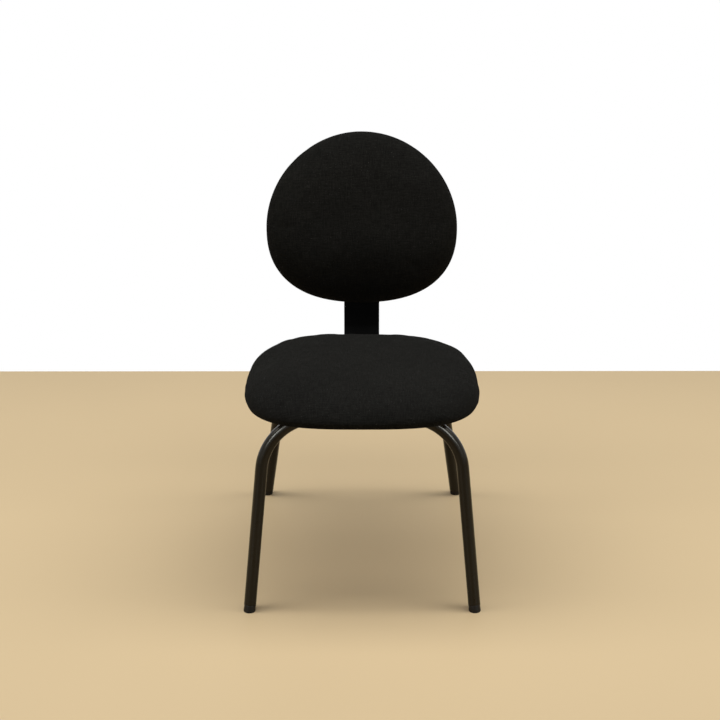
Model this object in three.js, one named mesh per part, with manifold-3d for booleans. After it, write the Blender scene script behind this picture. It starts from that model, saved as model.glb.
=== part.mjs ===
// Visitor chair: two bent tube bows, an upholstered seat, and an upholstered back on a flat steel bar.
// Millimetres, +Z up. The sitter faces -Y. The origin is on the floor, in the middle of the chair.

import * as THREE from 'three';
import { mergeVertices } from 'three/addons/utils/BufferGeometryUtils.js';
import Module from 'manifold-3d';

const wasm = await Module();
wasm.setup();

const degree = Math.PI / 180;

// Stance of the two bows on the floor
const frontFootSpan = 445;
const rearFootSpan = 432;
const footDepth = 490;
const frontBowHeight = 393;
const rearBowHeight = 379;
const frontLean = 8.4 * degree;
const rearLean = 18 * degree;
const frontSplay = 5.5 * degree;
const rearSplay = 7.8 * degree;

// Frame tube
const tubeDiameter = 24;
const tubeWall = 1.5;
const bendRadius = 113;
const bendSteps = 7;
const tubeSides = 18;
const boreSides = 10;

// Glides pushed into the tube ends
const glideHeadHeight = 14;
const glideHeadFlat = 1.2;
const glideEdge = 2.4;
const glideSink = 3;
const glideStemLength = 18;
const glideStemTip = 3;
const glideStemClearance = 0.9;
const glideSides = 14;

// Rails welded across the bows
const railSpacing = 120;
const railWidth = 26;
const railDepth = 18;
const railWall = 2.5;
const railCorner = 3;
const railCornerSteps = 3;
const railFrontOverhang = 18;
const railRearOverhang = 14;
const railScrewSetback = 60;

// Flat bar that carries the back
const barWidth = 75;
const barThickness = 8;
const barEdge = 1.2;
const barBendRadius = 45;
const barBendSteps = 9;
const barLegLength = 225;
const barSeatOverrun = 4;
const barBowClearance = 1;
const barNeckLength = 44;
const barHeightInBack = 215;
const barEndMargin = 24;
const barHolePitch = 116;
const barHoleSpacing = 40;
const backLean = 9 * degree;

// Seat
const seatFrontOverhang = 112;
const seatWidth = 452;
const seatFrontHalf = 200;
const seatRearHalf = 241;
const seatBoardThickness = 12;
const seatRimHeight = 42;
const seatCrown = 13;
const seatFrontDroop = 12;
const seatDroopSetback = 40;
const seatRoll = 28;
const seatRollDrop = 27;
const seatDrawIn = 6;
const seatHemWidth = 20;

// Back
const backWidth = 396;
const backLowerHalf = 163;
const backUpperHalf = 197;
const backBottomRise = 5;
const backCurveRadius = 550;
const backBoardThickness = 9;
const backRimHeight = 36;
const backCrown = 20;
const backLumbar = 6;
const backLumbarDrop = 48;
const backLumbarSpread = 62;
const backRoll = 60;
const backRollDrop = 24;
const backDrawIn = 4;
const backHemWidth = 16;
const backHoleRise = 105;
const backHolePitch = 80;

// Moulded cover behind the back
const shellWall = 2.5;
const shellDepth = 17;
const shellRimInset = 2.5;
const shellProfileShares = [[0, 0], [0.04, 0.35], [0.3, 0.75], [1, 0.95]];
const shellSlotMargin = 11;
const shellSlotPlay = 1.5;
const bossRadius = 6;
const bossSpacing = 210;
const bossPitch = 150;
const bossRise = 95;
const bossRelief = 1.6;
const shellScrewSink = 3.2;

// Upholstery cloth, and the gap that pieces keep where they touch
const clothThickness = 1.2;
const seatingGap = 0.3;
const cutOverrun = 4;

// Rows of points on a pad: across its face, round its rolled edge and down its side
const padSectors = 36;
const seatFaceShares = [0.32, 0.58, 0.76];
const backFaceShares = [0.22, 0.42, 0.58];
const boardShares = [0.34, 0.7];
const rollSteps = 4;
const sideSteps = 2;
const frontPowerOfSeat = 3;
const rearPowerOfSeat = 2.8;
const lowerPowerOfBack = 2.35;
const upperPowerOfBack = 2;
const drawInPower = 1.5;

// Fasteners: machine screws in tee nuts, and wood screws in the moulded cover
const screwRadius = 3;
const screwHeadRadius = 5.5;
const screwHeadHeight = 3.3;
const screwHeadEdge = 1.1;
const screwTip = 0.8;
const screwReach = 9.5;
const screwHoleClearance = 0.4;
const teeFlangeRadius = 9.5;
const teeFlangeThickness = 1.5;
const teeBarrelRadius = 4.2;
const teeBarrelLength = 8.5;
const woodScrewRadius = 2;
const woodScrewHeadRadius = 3.8;
const woodScrewHeadHeight = 2.4;
const woodScrewBite = 7;
const fastenerSides = 10;

// Sizes that follow from the ones above
const tubeRadius = tubeDiameter / 2;
const boreRadius = tubeRadius - tubeWall;
const frontBowTop = bowRun(frontBowHeight, frontLean);
const rearBowTop = footDepth - bowRun(rearBowHeight, rearLean);
const bowDistance = Math.hypot(rearBowTop - frontBowTop, frontBowHeight - rearBowHeight);
const seatTilt = Math.asin((frontBowHeight - rearBowHeight) / bowDistance);
const barTop = tubeRadius + barBowClearance + barThickness;
const boardBottom = barTop + seatingGap;
const seatCentre = seatFrontHalf - seatFrontOverhang;
const barBendStart = seatCentre + seatRearHalf + barSeatOverrun;
const barFront = barBendStart - barLegLength;
const barLean = backLean - seatTilt;
const backCentre = backBottomRise + backLowerHalf;
const screwHoleRadius = screwRadius + screwHoleClearance;

// How far a leaning bow comes forward or back between the floor and its top
function bowRun(height, lean) {
  return height * Math.tan(lean);
}

const seatPad = {
  halfWidth: seatWidth / 2,
  near: seatFrontHalf,
  far: seatRearHalf,
  nearPower: frontPowerOfSeat,
  farPower: rearPowerOfSeat,
  centre: seatCentre,
  boardThickness: seatBoardThickness,
  rimHeight: seatRimHeight,
  roll: seatRoll,
  rollDrop: seatRollDrop,
  drawIn: seatDrawIn,
  hemWidth: seatHemWidth,
  rise: () => 0,
  faceShares: seatFaceShares,
  dome: (y, share, liftShare) => {
    const wayShare = Math.max(0, -y - seatDroopSetback) / (seatFrontHalf - seatDroopSetback);
    return seatCrown * (1 - share ** 2) - seatFrontDroop * wayShare ** 2 * liftShare;
  },
};

const backPad = {
  halfWidth: backWidth / 2,
  near: backLowerHalf,
  far: backUpperHalf,
  nearPower: lowerPowerOfBack,
  farPower: upperPowerOfBack,
  centre: backCentre,
  boardThickness: backBoardThickness,
  rimHeight: backRimHeight,
  roll: backRoll,
  rollDrop: backRollDrop,
  drawIn: backDrawIn,
  hemWidth: backHemWidth,
  rise: (x) => x ** 2 / (2 * backCurveRadius),
  faceShares: backFaceShares,
  dome: (y, share) => {
    const lumbar = Math.exp(-(((y + backLumbarDrop) / backLumbarSpread) ** 2));
    return (backCrown + backLumbar * lumbar) * (1 - share ** 2);
  },
};

const paint = new THREE.MeshStandardMaterial({ color: 0x14130f, roughness: 0.32, metalness: 0.5 });
const barPaint = new THREE.MeshStandardMaterial({ color: 0x0b0b0a, roughness: 0.5, metalness: 0.4 });
const plastic = new THREE.MeshStandardMaterial({ color: 0x121212, roughness: 0.55, metalness: 0 });
const cloth = new THREE.MeshStandardMaterial({ color: 0x1d1d1b, roughness: 0.95, metalness: 0 });
const foam = new THREE.MeshStandardMaterial({ color: 0xd8cfa6, roughness: 0.9, metalness: 0 });
const plywood = new THREE.MeshStandardMaterial({ color: 0xb98f5c, roughness: 0.7, metalness: 0 });
const zinc = new THREE.MeshStandardMaterial({ color: 0xb4b6b4, roughness: 0.35, metalness: 1 });
const blackScrew = new THREE.MeshStandardMaterial({ color: 0x1a1a1a, roughness: 0.4, metalness: 0.8 });

// A sweep path with one ring of the tube at each point, mitred where it turns.
class StationPath extends THREE.Curve {
  constructor(stations) {
    super();
    this.stations = stations;
  }

  getPoint(share) {
    const last = this.stations.length - 1;
    const index = Math.min(Math.floor(share * last), last - 1);
    return this.stations[index].clone().lerp(this.stations[index + 1], share * last - index);
  }

  getPointAt(share) {
    return this.getPoint(share);
  }

  getTangent(share) {
    const last = this.stations.length - 1;
    const index = Math.round(share * last);
    const here = this.stations[index];
    const arriving = here.clone().sub(this.stations[Math.max(index - 1, 0)]).normalize();
    const leaving = this.stations[Math.min(index + 1, last)].clone().sub(here).normalize();
    return arriving.add(leaving).normalize();
  }

  getTangentAt(share) {
    return this.getTangent(share);
  }
}

function solidOf(geometry) {
  const bare = geometry.clone();
  bare.deleteAttribute('normal');
  bare.deleteAttribute('uv');
  const merged = mergeVertices(bare);
  const vertProperties = new Float32Array(merged.attributes.position.array);
  const triVerts = new Uint32Array(merged.index.array);
  return new wasm.Manifold(new wasm.Mesh({ numProp: 3, vertProperties, triVerts }));
}

function geometryOf(solid) {
  const mesh = solid.getMesh();
  const geometry = new THREE.BufferGeometry();
  geometry.setAttribute('position', new THREE.BufferAttribute(new Float32Array(mesh.vertProperties), 3));
  geometry.setIndex(new THREE.BufferAttribute(new Uint32Array(mesh.triVerts), 1));
  geometry.computeVertexNormals();
  return geometry;
}

// Cuts every tool out of a body, after fusing the extra pieces to it.
function shaped(body, tools, extras = []) {
  const fused = extras.reduce((solid, extra) => solid.add(solidOf(extra)), solidOf(body));
  return geometryOf(tools.reduce((solid, tool) => solid.subtract(solidOf(tool)), fused));
}

function addPiece(parent, name, geometry, material) {
  const mesh = new THREE.Mesh(geometry, material);
  mesh.name = name;
  parent.add(mesh);
  return mesh;
}

function circlePoints(radius, sides) {
  return Array.from({ length: sides }, (_, index) => {
    const angle = (index / sides) * 2 * Math.PI;
    return new THREE.Vector2(radius * Math.cos(angle), radius * Math.sin(angle));
  });
}

// A round bar that stands on z = base.
function roundBar(radius, base, length, sides = fastenerSides) {
  const geometry = new THREE.CylinderGeometry(radius, radius, length, sides);
  return geometry.rotateX(Math.PI / 2).translate(0, 0, base + length / 2);
}

// A turned piece about +Z, from pairs of radius and height.
function turned(profile, sides) {
  const points = profile.map(([radius, height]) => new THREE.Vector2(radius, height));
  return new THREE.LatheGeometry(points, sides).rotateX(Math.PI / 2);
}

function block(width, depth, height, x, y, z) {
  return new THREE.BoxGeometry(width, depth, height).translate(x, y, z);
}

// One half of a bow, from its foot to the end of its bend, in the plane of the bow.
function halfBow(footSpan, height, lean, splay) {
  const rise = height / Math.cos(lean);
  const bendBase = rise - bendRadius + bendRadius * Math.sin(splay);
  const bendCentre = footSpan / 2 - bendBase * Math.tan(splay) - bendRadius * Math.cos(splay);
  const foot = new THREE.Vector3(
    footSpan / 2 - glideHeadHeight * Math.sin(splay),
    0,
    glideHeadHeight * Math.cos(splay),
  );
  const bend = Array.from({ length: bendSteps + 1 }, (_, step) => {
    const angle = splay + (step / bendSteps) * (Math.PI / 2 - splay);
    const x = bendCentre + bendRadius * Math.cos(angle);
    return new THREE.Vector3(x, 0, rise - bendRadius + bendRadius * Math.sin(angle));
  });
  return [foot, ...bend];
}

function bowGeometry(footSpan, height, lean, splay) {
  const right = halfBow(footSpan, height, lean, splay);
  const left = right.map((point) => new THREE.Vector3(-point.x, 0, point.z)).reverse();
  const path = new StationPath([...right, ...left]);
  const section = new THREE.Shape(circlePoints(tubeRadius, tubeSides));
  section.holes.push(new THREE.Path(circlePoints(boreRadius, boreSides)));
  const steps = path.stations.length - 1;
  return new THREE.ExtrudeGeometry(section, { steps, extrudePath: path, bevelEnabled: false });
}

// A push-in glide, turned on the leg's axis and cut flat where it stands on the floor.
function glideGeometry(splay, lean) {
  const stemRadius = boreRadius - glideStemClearance;
  const headTop = glideHeadHeight - seatingGap;
  const stemTop = headTop + glideStemLength;
  const profile = [
    [0, -glideSink],
    [tubeRadius - glideEdge, -glideSink],
    [tubeRadius - glideEdge / 3, -glideSink + glideEdge / 3],
    [tubeRadius, -glideSink + glideEdge],
    [tubeRadius, headTop - glideHeadFlat],
    [tubeRadius - glideHeadFlat / 2, headTop],
    [stemRadius, headTop],
    [stemRadius, stemTop - glideStemTip],
    [stemRadius - glideStemTip / 2, stemTop],
    [0, stemTop],
  ];
  const piece = turned(profile, glideSides).rotateY(-splay).rotateX(-lean);
  const reach = 2 * tubeDiameter;
  return shaped(piece, [block(reach, reach, tubeDiameter, 0, 0, -tubeRadius)]);
}

function addBow(chair, place) {
  const bow = new THREE.Group();
  bow.position.y = place.footY;
  bow.rotation.x = -place.lean;
  const tube = bowGeometry(place.footSpan, place.height, place.lean, place.splay);
  addPiece(bow, `${place.name}_leg_bow`, tube, paint);
  chair.add(bow);
  for (const [side, sign] of [['left', -1], ['right', 1]]) {
    const name = `glide_${place.name}_${side}`;
    const glide = addPiece(chair, name, glideGeometry(sign * place.splay, place.lean), plastic);
    glide.position.set((sign * place.footSpan) / 2, place.footY, 0);
  }
}

// An inverted channel whose side walls are notched to sit over both bows.
function railGeometry(screwPlaces) {
  const half = railWidth / 2;
  const top = barTop;
  const foot = top - railDepth;
  const outline = new THREE.Shape();
  outline.moveTo(-half, foot);
  outline.lineTo(-half + railWall, foot);
  outline.lineTo(-half + railWall, top - railWall);
  outline.lineTo(half - railWall, top - railWall);
  outline.lineTo(half - railWall, foot);
  outline.lineTo(half, foot);
  outline.lineTo(half, top - railCorner);
  outline.absarc(half - railCorner, top - railCorner, railCorner, 0, Math.PI / 2);
  outline.absarc(-half + railCorner, top - railCorner, railCorner, Math.PI / 2, Math.PI);
  const length = railFrontOverhang + bowDistance + railRearOverhang;
  const settings = { depth: length, bevelEnabled: false, curveSegments: railCornerSteps };
  const channel = new THREE.ExtrudeGeometry(outline, settings);
  channel.rotateX(Math.PI / 2).translate(0, length - railFrontOverhang, 0);
  const notches = [0, bowDistance].map((y) => {
    const notch = new THREE.CylinderGeometry(
      tubeRadius + seatingGap,
      tubeRadius + seatingGap,
      railWidth + cutOverrun,
      tubeSides,
    );
    return notch.rotateZ(Math.PI / 2).translate(0, y, 0);
  });
  const drillBase = top - railWall - cutOverrun;
  const holes = screwPlaces.map((y) => {
    return roundBar(screwHoleRadius, drillBase, railWall + 2 * cutOverrun).translate(0, y, 0);
  });
  return shaped(channel, [...notches, ...holes]);
}

// The flat bar, bent from a leg under the seat to an upright that leans with the back.
function barGeometry(legHoles, uprightHoles) {
  const bendCentre = new THREE.Vector2(barBendStart, barTop + barBendRadius);
  const rear = new THREE.Vector2(Math.cos(barLean), -Math.sin(barLean));
  const upward = new THREE.Vector2(Math.sin(barLean), Math.cos(barLean));
  const upright = barNeckLength + barHeightInBack;
  const frontEnd = bendCentre.clone().addScaledVector(rear, barBendRadius).addScaledVector(upward, upright);
  const rearEnd = frontEnd.clone().addScaledVector(rear, barThickness);
  const outline = new THREE.Shape();
  outline.moveTo(barFront, barTop);
  outline.absarc(bendCentre.x, bendCentre.y, barBendRadius, -Math.PI / 2, -barLean);
  outline.lineTo(frontEnd.x, frontEnd.y);
  outline.lineTo(rearEnd.x, rearEnd.y);
  outline.absarc(bendCentre.x, bendCentre.y, barBendRadius + barThickness, -barLean, -Math.PI / 2, true);
  outline.lineTo(barFront, barTop - barThickness);
  const bar = new THREE.ExtrudeGeometry(outline, {
    depth: barWidth - 2 * barEdge,
    curveSegments: barBendSteps,
    bevelSize: barEdge,
    bevelThickness: barEdge,
    bevelOffset: -barEdge,
    bevelSegments: 1,
  });
  const turn = new THREE.Matrix4().makeBasis(
    new THREE.Vector3(0, 1, 0),
    new THREE.Vector3(0, 0, 1),
    new THREE.Vector3(1, 0, 0),
  );
  bar.translate(0, 0, barEdge - barWidth / 2).applyMatrix4(turn);
  const drill = () => roundBar(screwHoleRadius, -barThickness - cutOverrun, barThickness + 2 * cutOverrun);
  const legDrills = legHoles.map(([x, y]) => drill().translate(x, y, barTop));
  const uprightDrills = uprightHoles.map(([x, y]) => drill().translate(x, y, 0).applyMatrix4(backMatrix()));
  return shaped(bar, [...legDrills, ...uprightDrills]);
}

// Places the back's own frame on the front face of the upright: x across, y up the bar, z forward.
function backMatrix() {
  const turn = new THREE.Matrix4().makeRotationX(Math.PI / 2 - barLean);
  const rise = barNeckLength;
  const y = barBendStart + barBendRadius * Math.cos(barLean) + rise * Math.sin(barLean);
  const z = barTop + barBendRadius - barBendRadius * Math.sin(barLean) + rise * Math.cos(barLean);
  return turn.setPosition(0, y, z);
}

// The distance from a pad's centre to its outline, in one direction.
function outlineRadius(pad, angle) {
  const near = Math.sin(angle) < 0;
  const half = near ? pad.near : pad.far;
  const power = near ? pad.nearPower : pad.farPower;
  const across = (Math.abs(Math.cos(angle)) / pad.halfWidth) ** power;
  const along = (Math.abs(Math.sin(angle)) / half) ** power;
  return (across + along) ** (-1 / power);
}

function padPoint(pad, station, angle) {
  const reach = outlineRadius(pad, angle);
  const radius = station.share * reach - station.inset;
  const x = radius * Math.cos(angle);
  const y = radius * Math.sin(angle);
  const dome = station.liftShare === undefined ? 0 : pad.dome(y, radius / reach, station.liftShare);
  return [x, pad.centre + y, station.height + dome + pad.rise(x)];
}

// A closed body from rings of points, first and last of which are single points on the pad's centre.
function padBody(pad, stations) {
  const positions = [];
  const faces = [];
  const rings = stations.map((station) => {
    const count = station.share === 0 ? 1 : padSectors;
    const start = positions.length / 3;
    for (let sector = 0; sector < count; sector += 1) {
      positions.push(...padPoint(pad, station, (sector / padSectors) * 2 * Math.PI));
    }
    return (sector) => start + (sector % count);
  });
  for (let row = 1; row < rings.length; row += 1) {
    const from = stations[row - 1];
    const to = stations[row];
    const inward = to.share < from.share || (to.share === from.share && to.inset > from.inset);
    for (let sector = 0; sector < padSectors; sector += 1) {
      const [a, b] = [rings[row - 1](sector), rings[row - 1](sector + 1)];
      const [c, d] = [rings[row](sector), rings[row](sector + 1)];
      if (inward) faces.push(a, c, b);
      if (inward && to.share > 0) faces.push(c, d, b);
      if (!inward) faces.push(a, c, d);
      if (!inward && from.share > 0) faces.push(a, d, b);
    }
  }
  const geometry = new THREE.BufferGeometry();
  geometry.setAttribute('position', new THREE.Float32BufferAttribute(positions, 3));
  geometry.setIndex(faces);
  geometry.computeVertexNormals();
  return geometry;
}

function faceStations(shares, height, liftShare) {
  return shares.map((share) => ({ share, inset: 0, height, liftShare }));
}

// The height at which a pad's foam rests on its board.
function foamBase(pad) {
  return pad.boardThickness + seatingGap;
}

// Rings over the outside of a pad, from its middle round the rolled edge and down to the board.
function skinStations(pad, depth) {
  const widest = pad.rimHeight - pad.rollDrop;
  const stations = faceStations([0, ...pad.faceShares], pad.rimHeight - depth, 1);
  for (let step = 0; step <= rollSteps; step += 1) {
    const angle = (step / rollSteps) * (Math.PI / 2);
    const inset = depth + (pad.roll - depth) * (1 - Math.sin(angle));
    const height = widest + (pad.rollDrop - depth) * Math.cos(angle);
    stations.push({ share: 1, inset, height, liftShare: Math.cos(angle) });
  }
  for (let step = 1; step <= sideSteps; step += 1) {
    const height = widest + (step / sideSteps) * (foamBase(pad) - widest);
    const inset = depth + pad.drawIn * ((widest - height) / widest) ** drawInPower;
    stations.push({ share: 1, inset, height });
  }
  return stations;
}

// A cloth cover: outside over the pad and under its board, then back along the inside.
function coverGeometry(pad, cuts) {
  const corner = pad.drawIn + clothThickness;
  const hemEnd = corner + pad.hemWidth;
  const underside = -seatingGap - clothThickness;
  const outside = [
    ...skinStations(pad, 0),
    { share: 1, inset: pad.drawIn, height: -seatingGap },
    { share: 1, inset: corner, height: underside },
    { share: 1, inset: hemEnd, height: underside },
  ];
  const inside = [
    ...skinStations(pad, clothThickness),
    { share: 1, inset: corner, height: -seatingGap },
    { share: 1, inset: hemEnd, height: -seatingGap },
  ];
  return shaped(padBody(pad, [...outside, ...inside.reverse()]), cuts);
}

function foamGeometry(pad) {
  const base = foamBase(pad);
  const skin = skinStations(pad, clothThickness + seatingGap);
  const edge = { share: 1, inset: boardInset(pad), height: base };
  return padBody(pad, [...skin, edge, ...faceStations([0, ...boardShares], base).reverse()]);
}

function boardInset(pad) {
  return pad.drawIn + clothThickness + seatingGap;
}

function boardGeometry(pad, cuts) {
  const inset = boardInset(pad);
  const top = pad.boardThickness;
  const stations = [
    ...faceStations([0, ...boardShares], top),
    { share: 1, inset, height: top },
    { share: 1, inset, height: 0 },
    ...faceStations([0, ...boardShares], 0).reverse(),
  ];
  return shaped(padBody(pad, stations), cuts);
}

// Cuts a stepped hole for a tee nut through a board that lies on z = 0.
function teeNutCuts(pad, [x, y]) {
  const recess = teeFlangeThickness + seatingGap;
  const top = pad.boardThickness + pad.rise(x);
  return [
    roundBar(teeBarrelRadius + seatingGap, -cutOverrun, top + 2 * cutOverrun).translate(x, y, 0),
    roundBar(teeFlangeRadius + seatingGap, top - recess, recess + cutOverrun).translate(x, y, 0),
  ];
}

// A tee nut, with the top of its flange at z = 0 and its barrel below.
function teeNutGeometry() {
  const bore = screwHoleRadius;
  return turned(
    [
      [bore, -teeBarrelLength],
      [teeBarrelRadius, -teeBarrelLength],
      [teeBarrelRadius, -teeFlangeThickness],
      [teeFlangeRadius, -teeFlangeThickness],
      [teeFlangeRadius, 0],
      [bore, 0],
      [bore, -teeBarrelLength],
    ],
    fastenerSides,
  );
}

// A screw pointing up +Z, with the underside of its head at z = 0.
function screwGeometry(radius, headRadius, headHeight, length) {
  return turned(
    [
      [0, -headHeight],
      [headRadius - 2 * screwHeadEdge, -headHeight],
      [headRadius, -headHeight + screwHeadEdge],
      [headRadius, 0],
      [radius, 0],
      [radius, length - screwTip],
      [radius - screwTip, length],
      [0, length],
    ],
    fastenerSides,
  );
}

// A row of screws with their tee nuts, each through a plate of one thickness into a board.
function addFasteners(parent, name, places, pad, seat) {
  places.forEach(([x, y], index) => {
    const rise = pad.rise(x);
    const underHead = seat.plateTop - seat.plateThickness - seatingGap;
    const length = seat.boardBottom + screwReach - underHead;
    const geometry = screwGeometry(screwRadius, screwHeadRadius, screwHeadHeight, length);
    const screw = addPiece(parent, `${name}_screw_${index + 1}`, geometry, blackScrew);
    screw.position.set(x, y, underHead);
    const nut = addPiece(parent, `${name}_tee_nut_${index + 1}`, teeNutGeometry(), zinc);
    nut.position.set(x, y, seat.boardBottom + pad.boardThickness + rise);
  });
}

// The level of the moulded cover's rim, just behind the hem of the cloth.
function shellRim() {
  return -2 * seatingGap - clothThickness;
}

// A thin dish behind the back, with screw bosses inside and a notch where the bar enters.
function shellGeometry(bossPlaces) {
  const rim = shellRim();
  const skin = (depth) => {
    const wall = shellProfileShares.map(([insetShare, dropShare]) => {
      const inset = shellRimInset + depth + shellDepth * insetShare;
      return { share: 1, inset, height: rim - (shellDepth - depth) * dropShare };
    });
    const middle = faceStations([...backFaceShares].reverse().slice(1), rim - shellDepth + depth);
    return [...wall, ...middle, { share: 0, inset: 0, height: rim - shellDepth + depth }];
  };
  const dish = padBody(backPad, [...skin(shellWall).reverse(), ...skin(0)]);
  const bosses = bossPlaces.map(([x, y]) => {
    const rise = backPad.rise(x);
    const base = rim - shellDepth + shellWall / 2;
    return roundBar(bossRadius, base, -base - bossRelief).translate(x, y, rise);
  });
  const bores = bossPlaces.map(([x, y]) => {
    const rise = backPad.rise(x);
    const length = shellDepth + 2 * cutOverrun;
    const bore = woodScrewRadius + screwHoleClearance;
    return roundBar(bore, -length, length + cutOverrun).translate(x, y, rise);
  });
  const recesses = bossPlaces.map(([x, y]) => {
    const rise = backPad.rise(x);
    const floor = rim - shellDepth + shellScrewSink;
    return roundBar(woodScrewHeadRadius + screwHoleClearance, floor - 2 * cutOverrun, 2 * cutOverrun)
      .translate(x, y, rise);
  });
  const notchDepth = barThickness + shellSlotPlay;
  const notch = block(
    barWidth + 2 * shellSlotMargin,
    2 * shellDepth,
    notchDepth + cutOverrun,
    0,
    backBottomRise,
    (cutOverrun - notchDepth) / 2,
  );
  return shaped(dish, [...bores, ...recesses, notch], bosses);
}

function addSeat(chair) {
  const seat = new THREE.Group();
  seat.position.set(0, frontBowTop, frontBowHeight);
  seat.rotation.x = -seatTilt;
  chair.add(seat);

  const railX = railSpacing / 2;
  const railScrewYs = [railScrewSetback, bowDistance - railScrewSetback];
  for (const [side, sign] of [['left', -1], ['right', 1]]) {
    const rail = addPiece(seat, `seat_rail_${side}`, railGeometry(railScrewYs), paint);
    rail.position.x = sign * railX;
  }
  const railPlaces = railScrewYs.flatMap((y) => [[-railX, y], [railX, y]]);
  const barX = barHoleSpacing / 2;
  const barYs = [barFront + barEndMargin, barFront + barEndMargin + barHolePitch];
  const barPlaces = barYs.flatMap((y) => [[-barX, y], [barX, y]]);
  const backYs = [backHoleRise, backHoleRise + backHolePitch];
  const backPlaces = backYs.flatMap((y) => [[-barX, y], [barX, y]]);
  addPiece(seat, 'back_bar', barGeometry(barPlaces, backPlaces), barPaint);

  const cushion = new THREE.Group();
  cushion.position.z = boardBottom;
  seat.add(cushion);
  const boardCuts = [...railPlaces, ...barPlaces].flatMap((place) => teeNutCuts(seatPad, place));
  addPiece(cushion, 'seat_board', boardGeometry(seatPad, boardCuts), plywood);
  addPiece(cushion, 'seat_foam', foamGeometry(seatPad), foam);
  const railLength = railFrontOverhang + bowDistance + railRearOverhang;
  const railMiddle = (bowDistance + railRearOverhang - railFrontOverhang) / 2;
  const hemDepth = clothThickness + 2 * seatingGap;
  const hemCut = (width, length, x, y) => block(width, length, hemDepth, x, y, -hemDepth / 2);
  const hemCuts = [
    hemCut(barWidth + 2 * cutOverrun, 2 * seatRearHalf, 0, seatCentre + seatRearHalf),
    hemCut(railWidth + cutOverrun, railLength + cutOverrun, -railX, railMiddle),
    hemCut(railWidth + cutOverrun, railLength + cutOverrun, railX, railMiddle),
  ];
  addPiece(cushion, 'seat_cover', coverGeometry(seatPad, hemCuts), cloth);
  const onRail = { plateTop: barTop, plateThickness: railWall, boardBottom };
  addFasteners(seat, 'rail', railPlaces, seatPad, onRail);
  addFasteners(seat, 'bar', barPlaces, seatPad, { ...onRail, plateThickness: barThickness });
  addBack(seat, backPlaces);
}

function addBack(seat, screwPlaces) {
  const back = new THREE.Group();
  back.applyMatrix4(backMatrix());
  seat.add(back);

  const bossXs = [-bossSpacing / 2, bossSpacing / 2];
  const bossPlaces = [bossRise, bossRise + bossPitch].flatMap((y) => bossXs.map((x) => [x, y]));
  const cushion = new THREE.Group();
  cushion.position.z = seatingGap;
  back.add(cushion);
  const pilots = bossPlaces.map(([x, y]) => {
    const rise = backPad.rise(x);
    const length = woodScrewBite + seatingGap + cutOverrun;
    return roundBar(woodScrewRadius + screwHoleClearance, -cutOverrun, length).translate(x, y, rise);
  });
  const teeCuts = screwPlaces.flatMap((place) => teeNutCuts(backPad, place));
  addPiece(cushion, 'back_board', boardGeometry(backPad, [...teeCuts, ...pilots]), plywood);
  addPiece(cushion, 'back_foam', foamGeometry(backPad), foam);
  const hemDepth = clothThickness + 2 * seatingGap + backPad.rise(barWidth / 2);
  const hemCutWidth = barWidth + 2 * cutOverrun;
  const hemCut = block(hemCutWidth, 2 * backLowerHalf, 2 * hemDepth, 0, backBottomRise, -hemDepth);
  addPiece(cushion, 'back_cover', coverGeometry(backPad, [hemCut]), cloth);
  addPiece(back, 'back_shell', shellGeometry(bossPlaces), plastic);
  const plate = { plateTop: 0, plateThickness: barThickness, boardBottom: seatingGap };
  addFasteners(back, 'back', screwPlaces, backPad, plate);

  const underHead = shellRim() - shellDepth + shellScrewSink - seatingGap;
  bossPlaces.forEach(([x, y], index) => {
    const length = woodScrewBite - underHead;
    const geometry = screwGeometry(woodScrewRadius, woodScrewHeadRadius, woodScrewHeadHeight, length);
    const screw = addPiece(back, `shell_screw_${index + 1}`, geometry, blackScrew);
    screw.position.set(x, y, backPad.rise(x) + underHead);
  });
}

const chair = new THREE.Group();
addBow(chair, {
  name: 'front',
  footY: 0,
  footSpan: frontFootSpan,
  height: frontBowHeight,
  lean: frontLean,
  splay: frontSplay,
});
addBow(chair, {
  name: 'rear',
  footY: footDepth,
  footSpan: rearFootSpan,
  height: rearBowHeight,
  lean: -rearLean,
  splay: rearSplay,
});
addSeat(chair);

// The origin lies half way between the chair's foremost and rearmost points.
const bounds = new THREE.Box3().setFromObject(chair, true);
chair.position.y = -(bounds.min.y + bounds.max.y) / 2;

export default chair;
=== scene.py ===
# Visitor chair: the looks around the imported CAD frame. Metres, +Z up, the sitter faces -Y.

import math
import random

import bmesh
import bpy
from mathutils import Matrix, Vector


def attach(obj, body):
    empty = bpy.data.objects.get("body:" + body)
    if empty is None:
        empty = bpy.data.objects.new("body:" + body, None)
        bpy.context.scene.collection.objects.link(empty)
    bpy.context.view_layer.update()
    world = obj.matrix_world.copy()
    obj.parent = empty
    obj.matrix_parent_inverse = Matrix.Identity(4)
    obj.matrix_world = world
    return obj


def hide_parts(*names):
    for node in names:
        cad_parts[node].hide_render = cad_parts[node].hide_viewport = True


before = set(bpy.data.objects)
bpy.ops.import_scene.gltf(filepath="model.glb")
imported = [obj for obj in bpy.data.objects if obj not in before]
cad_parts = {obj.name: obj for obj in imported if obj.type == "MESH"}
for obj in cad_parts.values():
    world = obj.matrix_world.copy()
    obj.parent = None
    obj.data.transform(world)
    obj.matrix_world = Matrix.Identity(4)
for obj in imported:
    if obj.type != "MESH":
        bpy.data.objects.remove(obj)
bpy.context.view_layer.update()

smoothAngle = math.radians(38)
seatingGap = 0.0003             # kept between pieces that touch
clothSkin = 0.0012
near = 0.0001                   # for finding corners and edges by their place
noiseRange = (0.3, 0.7)         # where most of a noise lies

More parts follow.
